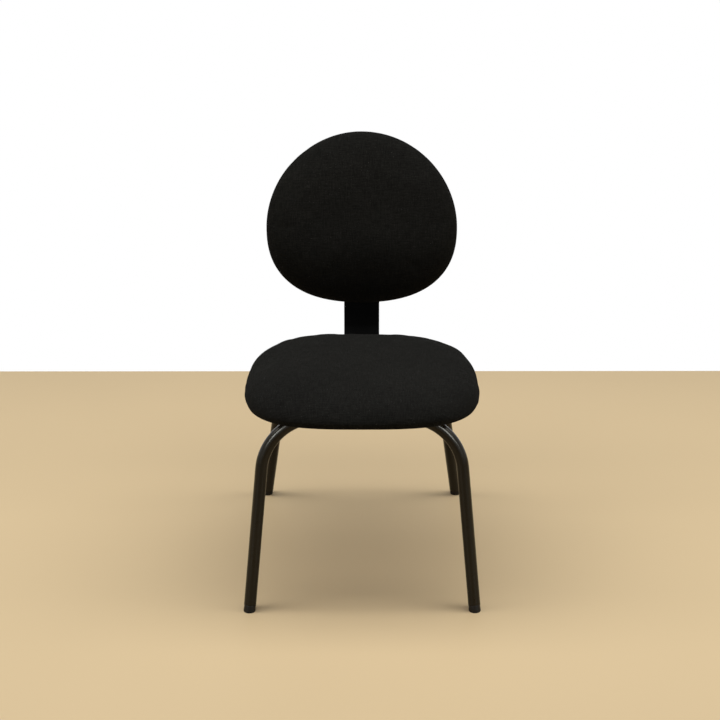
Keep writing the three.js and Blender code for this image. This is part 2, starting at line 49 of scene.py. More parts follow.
# The same lengths as the CAD source, in metres and degrees
stance = {
    "middle": 0.2322894,        # the front feet stand this far in front of the origin
    "footDepth": 0.490,
    "frontSpan": 0.445, "frontHeight": 0.393, "frontLean": 8.4, "frontSplay": 5.5,
    "rearSpan": 0.432, "rearHeight": 0.379, "rearLean": 18.0, "rearSplay": 7.8,
}
frontTop = stance["frontHeight"] * math.tan(math.radians(stance["frontLean"]))
rearTop = stance["footDepth"] - stance["rearHeight"] * math.tan(math.radians(stance["rearLean"]))
bowDistance = math.hypot(rearTop - frontTop, stance["frontHeight"] - stance["rearHeight"])
seatTilt = math.asin((stance["frontHeight"] - stance["rearHeight"]) / bowDistance)

bar = {
    "width": 0.075, "thickness": 0.008, "edge": 0.0012, "corner": 0.010,
    "top": 0.021,               # above the centre of the bows' tubes
    "bendStart": 0.333, "bendRadius": 0.045, "bendSteps": 28,
    "legLength": 0.225, "neck": 0.044, "heightInBack": 0.215, "lean": 9.0,
    "holeX": 0.020, "legHoles": (0.132, 0.248), "backHoles": (0.105, 0.185), "hole": 0.0034,
}
barLean = math.radians(bar["lean"]) - seatTilt

seatPlace = Vector((0, frontTop - stance["middle"], stance["frontHeight"]))
seatFrame = Matrix.Translation(seatPlace) @ Matrix.Rotation(-seatTilt, 4, "X")
backPlace = Vector((
    0,
    bar["bendStart"] + bar["bendRadius"] * math.cos(barLean) + bar["neck"] * math.sin(barLean),
    bar["top"] + bar["bendRadius"] * (1 - math.sin(barLean)) + bar["neck"] * math.cos(barLean),
))
backFrame = seatFrame @ Matrix.Translation(backPlace) @ Matrix.Rotation(math.pi / 2 - barLean, 4, "X")
boardFrame = seatFrame @ Matrix.Translation((0, 0, bar["top"] + seatingGap))
backBoardFrame = backFrame @ Matrix.Translation((0, 0, seatingGap))


# Camera, at the angle of the photograph
cameraPlace = {"lens": 70.0, "sensor": 36.0, "pitch": 22.68, "yaw": -0.092, "at": (-0.0081, -2.5953, 1.5234)}


def addCamera(place):
    turn = (math.radians(90 - place["pitch"]), 0, math.radians(place["yaw"]))
    bpy.ops.object.camera_add(location=place["at"], rotation=turn)
    camera = bpy.context.object
    camera.data.lens = place["lens"]
    camera.data.sensor_width = place["sensor"]
    bpy.context.scene.camera = camera


addCamera(cameraPlace)
bpy.context.scene.view_settings.view_transform = "Standard"
print("camera set")


# Working helpers

def selectOnly(*pieces):
    if bpy.context.mode != "OBJECT":
        bpy.ops.object.mode_set(mode="OBJECT")
    bpy.ops.object.select_all(action="DESELECT")
    for piece in pieces:
        piece.select_set(True)
    bpy.context.view_layer.objects.active = pieces[0]


def newPiece(name):
    piece = bpy.context.object
    piece.name = name
    piece.data.name = name
    selectOnly(piece)
    return piece


def editPart(piece, kind, isWanted):    # edit mode, with only the wanted faces, edges or vertices selected
    selectOnly(piece)
    bpy.ops.object.mode_set(mode="EDIT")
    bpy.ops.mesh.select_mode(type=kind)
    bpy.ops.mesh.select_all(action="DESELECT")
    mesh = bmesh.from_edit_mesh(piece.data)
    for part in {"VERT": mesh.verts, "EDGE": mesh.edges, "FACE": mesh.faces}[kind]:
        if isWanted(part):
            part.select_set(True)
    bmesh.update_edit_mesh(piece.data)


def editAll(piece):
    selectOnly(piece)
    bpy.ops.object.mode_set(mode="EDIT")
    bpy.ops.mesh.select_all(action="SELECT")


def objectMode():
    bpy.ops.object.mode_set(mode="OBJECT")


def middleOf(part):
    if isinstance(part, bmesh.types.BMEdge):
        return (part.verts[0].co + part.verts[1].co) / 2
    return part.co if isinstance(part, bmesh.types.BMVert) else part.calc_center_median()


def reachOf(edge):                      # how far an edge runs along each axis
    return [abs(step) for step in edge.verts[0].co - edge.verts[1].co]


def applyPlace():
    bpy.ops.object.transform_apply(location=True, rotation=True, scale=True)


def drawOut(step):                      # draws on what is selected
    bpy.ops.mesh.extrude_region_move(TRANSFORM_OT_translate={"value": step})


def applyModifier(piece, kind, **values):
    selectOnly(piece)
    modifier = piece.modifiers.new(kind.title(), kind)
    for key, value in values.items():
        setattr(modifier, key, value)
    bpy.ops.object.modifier_apply(modifier=modifier.name)


def thicken(piece, thickness):
    applyModifier(piece, "SOLIDIFY", thickness=thickness, offset=-1.0, use_even_offset=True)


def soften(piece, width, segments, degrees):        # rounds the edges that turn by more than this
    limit = {"limit_method": "ANGLE", "angle_limit": math.radians(degrees)}
    applyModifier(piece, "BEVEL", width=width, segments=segments, **limit)


def smoothOnce(piece):
    applyModifier(piece, "SUBSURF", levels=1, render_levels=1)


def cutWith(piece, cutter):             # takes a cutter's shape out of a piece
    applyModifier(piece, "BOOLEAN", object=cutter, operation="DIFFERENCE", solver="EXACT")
    bpy.data.objects.remove(cutter)


def drill(piece, radius, depth, place, sides=32):      # a hole along the Z axis of its place
    bpy.ops.mesh.primitive_cylinder_add(vertices=sides, radius=radius, depth=depth)
    bpy.context.object.matrix_world = place
    cutWith(piece, bpy.context.object)


def tidyNormals(piece, merge=0.00002):
    editAll(piece)
    bpy.ops.mesh.remove_doubles(threshold=merge)
    bpy.ops.mesh.normals_make_consistent(inside=False)
    objectMode()


def turnSheet(piece, face, up):         # an open sheet has its normals towards one side
    if face.normal.z * up < 0:
        editAll(piece)
        bpy.ops.mesh.flip_normals()
        objectMode()


def copyPiece(piece, name):
    copy = piece.copy()
    copy.data = piece.data.copy()
    copy.name = name
    copy.data.name = name
    bpy.context.scene.collection.objects.link(copy)
    return copy


def finishPiece(piece, place, slotName, material, *replaced):
    piece.matrix_world = place @ piece.matrix_world
    selectOnly(piece)
    applyPlace()
    bpy.ops.object.shade_smooth_by_angle(angle=smoothAngle)
    piece.data.materials.clear()
    piece.data.materials.append(material)
    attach(piece, "root")
    if replaced:
        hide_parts(*replaced)
    return piece


# Shader node helpers

def addNode(tree, kind, sockets=None, **values):
    node = tree.nodes.new(kind)
    for key, value in values.items():
        setattr(node, key, value)
    for key, value in (sockets or {}).items():
        if isinstance(value, bpy.types.NodeSocket):
            tree.links.new(value, node.inputs[key])
        else:
            node.inputs[key].default_value = value
    return node


def calc(tree, operation, first, second=0.0, clamp=False):
    node = addNode(tree, "ShaderNodeMath", {0: first, 1: second}, operation=operation, use_clamp=clamp)
    return node.outputs[0]


def vectorCalc(tree, operation, first, second):
    return addNode(tree, "ShaderNodeVectorMath", {0: first, 1: second}, operation=operation).outputs[0]


def remap(tree, value, low, high, newLow=0.0, newHigh=1.0):
    sockets = {"Value": value, "From Min": low, "From Max": high, "To Min": newLow, "To Max": newHigh}
    return addNode(tree, "ShaderNodeMapRange", sockets).outputs["Result"]


def blend(tree, share, first, second, mode="MIX"):
    sockets = {0: share, 6: first, 7: second}
    return addNode(tree, "ShaderNodeMix", sockets, data_type="RGBA", blend_type=mode).outputs[2]


def noise(tree, vector, scale, detail=2.0, rough=0.5):      # the settings called noise have this order
    sockets = {"Vector": vector, "Scale": scale, "Detail": detail, "Roughness": rough}
    return addNode(tree, "ShaderNodeTexNoise", sockets).outputs[0]


def newGroup(name, inputs, outputs):    # inputs: names, each with its kind of socket
    tree = bpy.data.node_groups.new(name, "ShaderNodeTree")
    for label, kind in inputs.items():
        tree.interface.new_socket(label, in_out="INPUT", socket_type="NodeSocket" + kind)
    for label in outputs:
        tree.interface.new_socket(label, in_out="OUTPUT", socket_type="NodeSocketFloat")
    start = tree.nodes.new("NodeGroupInput")
    end = tree.nodes.new("NodeGroupOutput")
    return tree, start.outputs, end.inputs


def useGroup(tree, group, sockets):
    return addNode(tree, "ShaderNodeGroup", node_tree=group, sockets=sockets).outputs


# Plain weave on a flat map of the cloth, with uneven threads; its colour mask is painted shade, darker in
# the weave's hollows and lighter on the raised threads
weave = {
    "strayScale": 160.0, "stray": (0.0006, 0.0006, 0),      # threads leave their line
    "roundness": 3.2, "slub": (60.0, 900.0, 1.0), "level": 0.62,
}


def makeWeaveGroup():
    inputs = {"Map": "Vector", "Threads": "Float", "Uneven": "Float"}
    tree, given, out = newGroup("plainWeave", inputs, ["Height", "HollowShade"])
    strays = {"Vector": given["Map"], "Scale": weave["strayScale"], "Detail": 1.0}
    wobble = addNode(tree, "ShaderNodeTexNoise", strays).outputs["Color"]
    moved = vectorCalc(tree, "ADD", given["Map"], vectorCalc(tree, "MULTIPLY", wobble, weave["stray"]))
    apart = addNode(tree, "ShaderNodeSeparateXYZ", {0: moved})
    counts = [calc(tree, "MULTIPLY", apart.outputs[axis], given["Threads"]) for axis in (0, 1)]
    cells = calc(tree, "ADD", *(calc(tree, "FLOOR", count) for count in counts))
    isWarp = calc(tree, "ABSOLUTE", calc(tree, "MODULO", cells, 2.0))
    offs = [calc(tree, "SUBTRACT", calc(tree, "FRACT", count), 0.5) for count in counts]
    bends = [calc(tree, "MULTIPLY", off, off) for off in offs]
    rounds = [calc(tree, "MULTIPLY", bend, weave["roundness"]) for bend in bends]
    warp = calc(tree, "SUBTRACT", 1.0, calc(tree, "ADD", rounds[0], bends[1]))
    weft = calc(tree, "SUBTRACT", 1.0, calc(tree, "ADD", rounds[1], bends[0]))
    mixed = addNode(tree, "ShaderNodeMix", {0: isWarp, 2: weft, 3: warp}, data_type="FLOAT")
    slub = noise(tree, vectorCalc(tree, "MULTIPLY", given["Map"], weave["slub"]), 1.0, 1.0)
    uneven = calc(tree, "MULTIPLY", calc(tree, "SUBTRACT", slub, 0.5), given["Uneven"])
    height = calc(tree, "ADD", mixed.outputs[0], uneven, clamp=True)
    # painted shade: the colour mask follows the weave's height, dark in the hollows, light on the raised
    # threads
    hollowShade = calc(tree, "ADD", 0.5, calc(tree, "SUBTRACT", height, weave["level"]), clamp=True)
    tree.links.new(height, out["Height"])
    tree.links.new(hollowShade, out["HollowShade"])
    return tree


# Fine scratches in two directions, broken into short runs
scratches = {
    "runs": ((0.4, (1.0, 14.0, 1.0)), (1.9, (16.0, 1.0, 3.0))),     # turn and stretch
    "detail": (3.0, 0.6), "edge": (0.63, 0.72), "breakScale": 9.0, "breaks": (0.5, 0.7),
}


def makeScuffGroup():
    inputs = {"Place": "Vector", "Scale": "Float", "Amount": "Float"}
    tree, given, out = newGroup("fineScuffs", inputs, ["Mask"])
    masks = []
    for turn, stretch in scratches["runs"]:
        sockets = {"Vector": given["Place"], "Rotation": (turn, turn * 0.6, turn), "Scale": stretch}
        mapping = addNode(tree, "ShaderNodeMapping", sockets)
        streaks = noise(tree, mapping.outputs[0], given["Scale"], *scratches["detail"])
        masks.append(remap(tree, streaks, *scratches["edge"]))
    broken = remap(tree, noise(tree, given["Place"], scratches["breakScale"]), *scratches["breaks"])
    both = calc(tree, "MULTIPLY", calc(tree, "MAXIMUM", *masks), broken)
    tree.links.new(calc(tree, "MULTIPLY", both, given["Amount"], clamp=True), out["Mask"])
    return tree


# Dust that settles on what faces up, in soft patches with a few specks
settled = {
    "facing": (0.1, 0.95, 0.08, 1.0), "patchNoise": (14.0, 4.0, 0.6), "patches": (0.35, 0.75, 0.25, 1.0),
    "speckNoise": (900.0, 1.0), "specks": (0.68, 0.76), "colour": (0.16, 0.15, 0.13, 1),
}


def makeDustGroup():
    inputs = {"Place": "Vector", "Normal": "Vector", "Amount": "Float"}
    tree, given, out = newGroup("settledDust", inputs, ["Mask"])
    facing = addNode(tree, "ShaderNodeSeparateXYZ", {0: given["Normal"]}).outputs[2]
    up = remap(tree, facing, *settled["facing"])
    patches = remap(tree, noise(tree, given["Place"], *settled["patchNoise"]), *settled["patches"])
    specks = remap(tree, noise(tree, given["Place"], *settled["speckNoise"]), *settled["specks"])
    dust = calc(tree, "MULTIPLY", up, calc(tree, "ADD", patches, specks))
    tree.links.new(calc(tree, "MULTIPLY", dust, given["Amount"], clamp=True), out["Mask"])
    return tree


weaveGroup = makeWeaveGroup()
scuffGroup = makeScuffGroup()
dustGroup = makeDustGroup()


def newMaterial(name, **values):        # returns its tree, its shader and its object coordinates
    material = bpy.data.materials.new(name)
    material.use_nodes = True
    tree = material.node_tree
    shader = tree.nodes["Principled BSDF"]
    for key, value in values.items():
        shader.inputs[key].default_value = value
    coordinates = addNode(tree, "ShaderNodeTexCoord")
    return material, tree, shader, coordinates.outputs["Object"]


def dustOver(tree, colour, place, amount):
    normal = addNode(tree, "ShaderNodeNewGeometry").outputs["Normal"]
    mask = useGroup(tree, dustGroup, {"Place": place, "Normal": normal, "Amount": amount})["Mask"]
    return blend(tree, mask, colour, settled["colour"]), mask


def scuffsOn(tree, place, scale, amount):
    return useGroup(tree, scuffGroup, {"Place": place, "Scale": scale, "Amount": amount})["Mask"]


def bumpInto(tree, shader, height, strength, distance):
    sockets = {"Height": height, "Strength": strength, "Distance": distance}
    tree.links.new(addNode(tree, "ShaderNodeBump", sockets).outputs[0], shader.inputs["Normal"])


cloth = {
    # dark and light: the cloth's black split by the weave's height, the dark one as painted shade in the
    # hollows
    "dark": (0.0064, 0.0062, 0.0054, 1), "light": (0.0138, 0.0136, 0.0120, 1),
    "roughness": 1.0, "specular": 0.01, "sheen": 0.016, "sheenRoughness": 0.4,
    "threads": 780.0, "uneven": 0.45, "bump": 0.75, "depth": 0.0005,
    "rubNoise": (7.0, 5.0, 0.62), "rubbed": (0.35, 0.7, 0.86, 1.12),
    "mottleNoise": (330.0, 3.0, 0.75), "mottled": (0.32, 0.68, 0.72, 1.28),
    "yarns": ((48.0, 400.0, 1.0), (400.0, 48.0, 1.0)), "yarnShade": (0.3, 0.7, 0.78, 1.22),
    "lintNoise": (620.0, 1.0), "lint": (0.745, 0.79), "lintColour": (0.10, 0.10, 0.095, 1),
    "fuzzNoise": (2600.0, 2.0, 0.6), "fuzz": 0.35,
}


def makeCloth():
    material, tree, shader, place = newMaterial("blackUpholstery", **{
        "Roughness": cloth["roughness"], "Specular IOR Level": cloth["specular"],
        "Sheen Weight": cloth["sheen"], "Sheen Roughness": cloth["sheenRoughness"],
    })
    flatMap = addNode(tree, "ShaderNodeUVMap", uv_map="clothMap").outputs[0]
    threads = {"Map": flatMap, "Threads": cloth["threads"], "Uneven": cloth["uneven"]}
    woven = useGroup(tree, weaveGroup, threads)
    # painted shade: the weave's hollows darker, its raised threads lighter
    colour = blend(tree, woven["HollowShade"], cloth["dark"], cloth["light"])
    rubbed = remap(tree, noise(tree, place, *cloth["rubNoise"]), *cloth["rubbed"])
    mottled = remap(tree, noise(tree, flatMap, *cloth["mottleNoise"]), *cloth["mottled"])
    shade = calc(tree, "MULTIPLY", rubbed, mottled)
    for stretch in cloth["yarns"]:      # thick and thin yarns in both directions
        yarn = noise(tree, vectorCalc(tree, "MULTIPLY", flatMap, stretch), 1.0)
        shade = calc(tree, "MULTIPLY", shade, remap(tree, yarn, *cloth["yarnShade"]))
    tone = addNode(tree, "ShaderNodeCombineColor", {0: shade, 1: shade, 2: shade}).outputs[0]
    colour = blend(tree, 1.0, colour, tone, "MULTIPLY")
    lint = remap(tree, noise(tree, flatMap, *cloth["lintNoise"]), *cloth["lint"])
    tree.links.new(blend(tree, lint, colour, cloth["lintColour"]), shader.inputs["Base Color"])
    fuzz = calc(tree, "MULTIPLY", noise(tree, flatMap, *cloth["fuzzNoise"]), cloth["fuzz"])
    bumpInto(tree, shader, calc(tree, "ADD", woven["Height"], fuzz), cloth["bump"], cloth["depth"])
    return material


# Paint on the tubes and on the bar; the bar's colours are darker than the tubes' as painted shade for the
# gap between seat and back
paint = {
    "fadeNoise": (5.0, 3.0), "fadeShare": 0.25, "scuffHeights": (0.02, 0.16),
    "unevenNoise": (45.0, 3.0), "smoother": 0.04, "rougher": 0.06, "wornRougher": 0.35,
    "peelScale": 420.0, "peelDepth": 0.0003,
}
tubePaint = {
    "colour": (0.0064, 0.0048, 0.0024, 1), "faded": (0.0088, 0.0069, 0.0042, 1),
    "worn": (0.030, 0.026, 0.020, 1), "scuffScale": 26.0, "scuffs": (0.75, 0.18),   # at the floor and above
    "roughness": 0.20, "specular": 0.21, "tint": (1.0, 0.93, 0.78, 1), "dust": 0.03, "peel": 0.05,
}
barShadedPaint = {
    # painted shade: the bar's satin black is made darker still for the shade it stands in between seat and
    # back
    "colour": (0.0016, 0.0016, 0.0014, 1), "faded": (0.0028, 0.0027, 0.0024, 1),
    "worn": (0.016, 0.015, 0.014, 1), "scuffScale": 34.0, "scuffs": (0.35, 0.35),
    "roughness": 0.5, "specular": 0.016, "tint": (1, 1, 1, 1), "dust": 0.004, "peel": 0.16,
}


def makePaint(name, settings):
    sheen = {"Specular IOR Level": settings["specular"], "Specular Tint": settings["tint"]}
    material, tree, shader, place = newMaterial(name, **sheen)
    scuffs = scuffsOn(tree, place, settings["scuffScale"], 1.0)
    height = addNode(tree, "ShaderNodeSeparateXYZ", {0: place}).outputs[2]
    share = remap(tree, height, *paint["scuffHeights"], *settings["scuffs"])
    worn = calc(tree, "MULTIPLY", scuffs, share, clamp=True)
    faded = remap(tree, noise(tree, place, *paint["fadeNoise"]), *noiseRange)
    fadeShare = calc(tree, "MULTIPLY", faded, paint["fadeShare"])
    colour = blend(tree, fadeShare, settings["colour"], settings["faded"])
    colour = blend(tree, worn, colour, settings["worn"])
    colour, dust = dustOver(tree, colour, place, settings["dust"])
    tree.links.new(colour, shader.inputs["Base Color"])
    low, high = settings["roughness"] - paint["smoother"], settings["roughness"] + paint["rougher"]
    uneven = remap(tree, noise(tree, place, *paint["unevenNoise"]), *noiseRange, low, high)
    dulled = calc(tree, "MULTIPLY", calc(tree, "ADD", worn, dust), paint["wornRougher"])
    tree.links.new(calc(tree, "ADD", uneven, dulled, clamp=True), shader.inputs["Roughness"])
    bumpInto(tree, shader, noise(tree, place, paint["peelScale"]), settings["peel"], paint["peelDepth"])
    return material


plastic = {
    "shell": {
        "colour": (0.0090, 0.0090, 0.0090, 1), "cloudy": (0.0150, 0.0150, 0.0146, 1),
        "scuff": (0.055, 0.053, 0.050, 1), "scuffs": 0.35, "dust": 0.12,
        "roughness": 0.48, "specular": 0.4, "grain": 1500.0, "depth": 0.35,
    },
    "glide": {
        "colour": (0.0035, 0.0028, 0.0018, 1), "cloudy": (0.0060, 0.0050, 0.0036, 1),
        "scuff": (0.035, 0.031, 0.025, 1), "scuffs": 0.8, "dust": 0.04,
        "roughness": 0.38, "specular": 0.2, "grain": 900.0, "depth": 0.15,
    },
    "scuffScale": 18.0, "cloudNoise": (11.0, 4.0), "cloudShare": 0.4, "scuffRougher": 0.25,
    "cellShare": 0.6, "grainDepth": 0.00025,
}


def makePlastic(name, settings):
    material, tree, shader, place = newMaterial(name, **{"Specular IOR Level": settings["specular"]})
    scuffs = scuffsOn(tree, place, plastic["scuffScale"], settings["scuffs"])
    clouds = noise(tree, place, *plastic["cloudNoise"])
    cloudy = remap(tree, clouds, *noiseRange, 0.0, plastic["cloudShare"])
    colour = blend(tree, cloudy, settings["colour"], settings["cloudy"])
    colour = blend(tree, scuffs, colour, settings["scuff"])
    colour, dust = dustOver(tree, colour, place, settings["dust"])
    tree.links.new(colour, shader.inputs["Base Color"])
    dulled = calc(tree, "MULTIPLY", calc(tree, "ADD", scuffs, dust), plastic["scuffRougher"])
    rough = calc(tree, "ADD", settings["roughness"], dulled, clamp=True)
    tree.links.new(rough, shader.inputs["Roughness"])
    cellSockets = {"Vector": place, "Scale": settings["grain"] * plastic["cellShare"], "Randomness": 1.0}
    cells = addNode(tree, "ShaderNodeTexVoronoi", cellSockets).outputs["Distance"]
    grain = calc(tree, "ADD", cells, noise(tree, place, settings["grain"]))
    bumpInto(tree, shader, grain, settings["depth"], plastic["grainDepth"])
    return material


wood = {
    "pale": (0.58, 0.42, 0.25, 1), "dark": (0.34, 0.21, 0.11, 1), "pore": (0.20, 0.12, 0.06, 1),
    "stretch": (1.0, 0.055, 1.0), "figure": (0.32, 0.68),
    "bands": {"Scale": 36.0, "Detail": 5.0, "Distortion": 0.8},
    "fibreNoise": (520.0, 3.0), "fibre": (0.55, 0.75), "poreShare": 0.55, "bump": 0.3, "depth": 0.0003,
}


def makePlywood():
    sheen = {"Roughness": 0.62, "Specular IOR Level": 0.35}
    material, tree, shader, place = newMaterial("birchPlywood", **sheen)
    stretched = {"Vector": place, "Scale": wood["stretch"]}
    grainSpace = addNode(tree, "ShaderNodeMapping", stretched).outputs[0]
    bands = addNode(tree, "ShaderNodeTexNoise", {"Vector": grainSpace, **wood["bands"]}).outputs[0]
    colour = blend(tree, remap(tree, bands, *wood["figure"]), wood["pale"], wood["dark"])
    fibre = remap(tree, noise(tree, grainSpace, *wood["fibreNoise"]), *wood["fibre"])
    colour = blend(tree, calc(tree, "MULTIPLY", fibre, wood["poreShare"]), colour, wood["pore"])
    tree.links.new(colour, shader.inputs["Base Color"])
    bumpInto(tree, shader, fibre, wood["bump"], wood["depth"])
    return material


metal = {
    "zinc": {"colour": (0.42, 0.43, 0.42, 1), "dark": (0.25, 0.25, 0.24, 1), "roughness": 0.36},
    "screw": {"colour": (0.035, 0.034, 0.033, 1), "dark": (0.012, 0.012, 0.012, 1), "roughness": 0.34},
    "staple": {"colour": (0.50, 0.50, 0.49, 1), "dark": (0.28, 0.27, 0.25, 1), "roughness": 0.3},
    "blotchNoise": (260.0, 4.0, 0.65), "blotches": (0.35, 0.65), "smoother": 0.06, "rougher": 0.16,
    "grainScale": 1600.0, "bump": 0.2, "depth": 0.0001,
}


def makeMetal(name, settings):
    material, tree, shader, place = newMaterial(name, Metallic=0.95)
    blotches = remap(tree, noise(tree, place, *metal["blotchNoise"]), *metal["blotches"])
    tree.links.new(blend(tree, blotches, settings["colour"], settings["dark"]), shader.inputs["Base Color"])
    low, high = settings["roughness"] - metal["smoother"], settings["roughness"] + metal["rougher"]
    tree.links.new(remap(tree, blotches, 0.0, 1.0, low, high), shader.inputs["Roughness"])
    bumpInto(tree, shader, noise(tree, place, metal["grainScale"]), metal["bump"], metal["depth"])
    return material


clothMaterial = makeCloth()
tubeMaterial = makePaint("frameGlossPaint", tubePaint)
barShadedMaterial = makePaint("barSatinPaintShaded", barShadedPaint)
shellMaterial = makePlastic("shellPlastic", plastic["shell"])
glideMaterial = makePlastic("glidePlastic", plastic["glide"])
plywoodMaterial = makePlywood()
zincMaterial = makeMetal("zincPlate", metal["zinc"])
screwMaterial = makeMetal("blackScrewSteel", metal["screw"])
stapleMaterial = makeMetal("stapleWire", metal["staple"])
print("materials made")


# The two tube bows: a ring at the foot, drawn up the leg, spun round the bend and run to the middle,
# then mirrored

tube = {
    "radius": 0.012, "wall": 0.0015, "sides": 48, "legSteps": 14, "bendRadius": 0.113, "bendSteps": 26,
    "glideHead": 0.014,
}
bows = (("front", 0, -1), ("rear", stance["footDepth"], 1))     # place of the feet, and the lean's sense
sides = (("left", -1), ("right", 1))


def legAngles(row):
    return [math.radians(stance[row + part]) for part in ("Lean", "Splay")]


def makeBow(row, footY, sense):
    lean, splay = legAngles(row)
    radius = tube["bendRadius"]
    rise = stance[row + "Height"] / math.cos(lean)
    bendBase = rise - radius * (1 - math.sin(splay))
    bendX = stance[row + "Span"] / 2 - bendBase * math.tan(splay) - radius * math.cos(splay)
    up = Vector((-math.sin(splay), 0, math.cos(splay)))
    foot = Vector((stance[row + "Span"] / 2, 0, 0)) + up * tube["glideHead"]
    bendMiddle = Vector((bendX, 0, rise - radius))
    bendStart = bendMiddle + radius * Vector((math.cos(splay), 0, math.sin(splay)))
    bpy.ops.mesh.primitive_circle_add(
        vertices=tube["sides"], radius=tube["radius"], location=foot, rotation=(0, -splay, 0),
    )
    bow = newPiece(row + "Tube")
    applyPlace()
    editAll(bow)
    legStep = (bendStart - foot) / tube["legSteps"]
    for _ in range(tube["legSteps"]):
        drawOut(legStep)
    bendAngle = math.pi / 2 - splay
    bpy.ops.mesh.spin(steps=tube["bendSteps"], angle=bendAngle, axis=(0, 1, 0), center=bendMiddle)
    drawOut((-bendX, 0, 0))
    applyModifier(bow, "MIRROR", use_axis=(True, False, False), use_clip=True, merge_threshold=0.0002)
    tidyNormals(bow)
    thicken(bow, tube["wall"])
    place = Matrix.Translation((0, footY - stance["middle"], 0)) @ Matrix.Rotation(sense * lean, 4, "X")
    finishPiece(bow, place, "frame_paint", tubeMaterial, f"{row}_leg_bow")


for row, footY, sense in bows:
    makeBow(row, footY, sense)


# Push-in glides with a rounded head, cut flat where they stand

glide = {
    "sides": 48, "sink": 0.003, "headEdge": 0.0026, "topEdge": 0.0007,
    "groove": (0.0084, 0.0096), "grooveDepth": 0.0006,          # a fine line round the head
}


def makeGlide(name, x, y, splay, lean, node):
    headTop = tube["glideHead"] - seatingGap
    depth = headTop + glide["sink"]
    bpy.ops.mesh.primitive_cylinder_add(
        vertices=glide["sides"], radius=tube["radius"], depth=depth, location=(0, 0, headTop - depth / 2),
    )
    piece = newPiece(name)
    applyPlace()
    for level, edge, segments in ((-glide["sink"], glide["headEdge"], 5), (headTop, glide["topEdge"], 2)):
        editPart(piece, "EDGE", lambda part: all(abs(end.co.z - level) < near for end in part.verts))
        bpy.ops.mesh.bevel(offset=edge, segments=segments, affect="EDGES")
    low, high = glide["groove"]
    for z in (low, high):
        editAll(piece)
        bpy.ops.mesh.bisect(plane_co=(0, 0, z), plane_no=(0, 0, 1))
    editPart(piece, "FACE", lambda part: low < middleOf(part).z < high and abs(part.normal.z) < 0.2)
    bpy.ops.transform.shrink_fatten(value=-glide["grooveDepth"])
    objectMode()
    piece.matrix_world = Matrix.Rotation(lean, 4, "X") @ Matrix.Rotation(splay, 4, "Y")
    selectOnly(piece)
    applyPlace()
    editAll(piece)
    bpy.ops.mesh.bisect(plane_co=(0, 0, 0), plane_no=(0, 0, 1), use_fill=True, clear_inner=True)
    objectMode()
    place = Matrix.Translation((x, y - stance["middle"], 0))
    finishPiece(piece, place, "glide_plastic", glideMaterial, node)


for side, sign in sides:
    for row, footY, sense in bows:
        lean, splay = legAngles(row)
        x = sign * stance[row + "Span"] / 2
        makeGlide(f"{row}Glide_{side}", x, footY, -sign * splay, sense * lean, f"glide_{row}_{side}")
print("bows and glides made")


# Rails: inverted channels with a rounded back, notched over both bows and drilled for the seat's screws

rail = {
    "x": 0.060, "width": 0.026, "depth": 0.018, "wall": 0.0025, "corner": 0.003, "edge": 0.0004,
    "front": -0.018, "rearOver": 0.014, "screwSetback": 0.060, "hole": 0.0034, "notchPlay": 0.0002,
}
railScrewYs = (rail["screwSetback"], bowDistance - rail["screwSetback"])


def makeRail(side, sign):
    length = bowDistance + rail["rearOver"] - rail["front"]
    middle = (rail["front"] + bowDistance + rail["rearOver"]) / 2
    top = bar["top"]
    bpy.ops.mesh.primitive_cube_add(
        size=1, location=(0, middle, top - rail["depth"] / 2), scale=(rail["width"], length, rail["depth"]),
    )
    piece = newPiece(f"rail_{side}")
    applyPlace()
    editPart(piece, "FACE", lambda part: part.normal.z < -0.5 or abs(part.normal.y) > 0.5)
    bpy.ops.mesh.delete(type="FACE")
    editPart(piece, "EDGE", lambda part: reachOf(part)[1] > length / 2 and middleOf(part).z > top - near)
    bpy.ops.mesh.bevel(offset=rail["corner"], segments=5, affect="EDGES")
    thicken(piece, rail["wall"])
    for y in (0, bowDistance):
        across = Matrix.Translation((0, y, 0)) @ Matrix.Rotation(math.pi / 2, 4, "Y")
        drill(piece, tube["radius"] + rail["notchPlay"], 2 * rail["width"], across, tube["sides"])
    for y in railScrewYs:
        drill(piece, rail["hole"], 2 * rail["depth"], Matrix.Translation((0, y, top)))
    soften(piece, rail["edge"], 2, 50)
    place = seatFrame @ Matrix.Translation((sign * rail["x"], 0, 0))
    finishPiece(piece, place, "frame_paint", tubeMaterial, f"seat_rail_{side}")


for side, sign in sides:
    makeRail(side, sign)


# Weld beads round each notch: part of a ring, with ripples along it

weld = {
    "major": 0.0128, "minor": 0.0021, "ripples": 26, "ripple": 0.00042, "lift": 0.0012, "clear": 0.0006,
}


def makeWeld():
    bpy.ops.mesh.primitive_torus_add(
        major_radius=weld["major"], minor_radius=weld["minor"], major_segments=2 * weld["ripples"],
        minor_segments=12, rotation=(0, math.pi / 2, 0),
    )
    bead = newPiece("weldBead")
    applyPlace()
    step = math.pi / weld["ripples"]
    editPart(bead, "VERT", lambda part: round(math.atan2(part.co.z, part.co.y) / step) % 2 == 0)
    bpy.ops.transform.shrink_fatten(value=-weld["ripple"])
    editAll(bead)
    bpy.ops.mesh.bisect(plane_co=(0, 0, weld["lift"]), plane_no=(0, 0, 1), use_fill=True, clear_inner=True)
    smoothOnce(bead)
    return bead


weldBead = makeWeld()
for row, y in (("front", 0), ("rear", bowDistance)):
    for side, sign in sides:
        for edge, out in (("inner", -1), ("outer", 1)):
            x = sign * (rail["x"] + out * (rail["width"] / 2 + weld["clear"]))
            bead = copyPiece(weldBead, f"weld_{row}_{side}_{edge}")
            finishPiece(bead, seatFrame @ Matrix.Translation((x, y, 0)), "frame_paint", tubeMaterial)
bpy.data.objects.remove(weldBead)
print("rails and welds made")


# The flat bar: a strip along the seat, spun round the bend and drawn up the back, then thickened

